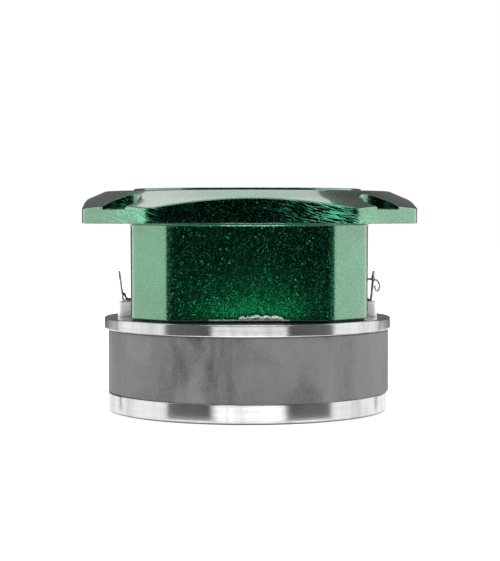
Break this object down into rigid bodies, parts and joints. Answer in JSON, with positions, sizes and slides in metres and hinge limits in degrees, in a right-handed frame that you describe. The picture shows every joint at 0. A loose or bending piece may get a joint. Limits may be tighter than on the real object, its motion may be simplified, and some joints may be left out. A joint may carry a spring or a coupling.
{
  "type": "bullet super tweeter",
  "caption": "Horn loudspeaker driver with a cast cut-corner flange, a bullet phase plug, a ring diaphragm, a ferrite ring magnet and solder terminals.",
  "frame": {"origin": "middle of the back plate's lower face, on which the driver stands", "axes": "+Z out of the horn mouth along the driver's axis, +X to the right terminal, -Y to the front"},
  "size_m": [0.097, 0.097, 0.0671],
  "materials": {
    "green_casting": "gloss",
    "polished_steel": "polished",
    "ferrite": "matte",
    "white_nylon": "satin",
    "black_rubber": "matte",
    "tinned_metal": "satin",
    "copper": "polished",
    "brass": "satin",
    "bare_aluminium": "satin",
    "amber_film": "gloss",
    "black_steel": "satin",
    "wire_sleeve": "satin"
  },
  "bodies": {
    "driver": {"back_plate": "polished_steel", "pole_piece": "polished_steel", "magnet_ring": "ferrite", "top_plate": "polished_steel", "copper_pole_cap": "copper", "locating_pin_front": "brass", "locating_pin_back": "brass", "diaphragm_carrier": "white_nylon", "inner_suspension": "amber_film", "outer_suspension": "amber_film", "inner_clamp_ring": "bare_aluminium", "terminal_tab_left": "tinned_metal", "terminal_tab_right": "tinned_metal", "terminal_rivet_left": "tinned_metal", "terminal_rivet_right": "tinned_metal", "lead_wire_left": "wire_sleeve", "lead_wire_right": "wire_sleeve", "horn_casting": "green_casting", "body_gasket": "black_rubber", "bullet": "green_casting", "bullet_bolt": "black_steel", "assembly_screw_front_left": "black_steel", "assembly_screw_front_right": "black_steel", "assembly_screw_rear_right": "black_steel", "assembly_screw_rear_left": "black_steel"},
    "moving_system": {"diaphragm_ring": "bare_aluminium", "voice_coil_former": "amber_film", "voice_coil_winding": "copper"}
  },
  "joints": [
    {"name": "diaphragm_stroke", "type": "slide", "parent": "driver", "child": "moving_system", "axis": [0, 0, 1], "range_m": [-0.0003, 0.0003], "stiffness_N_per_m": 5000, "deforming": ["inner_suspension", "outer_suspension"]}
  ]
}
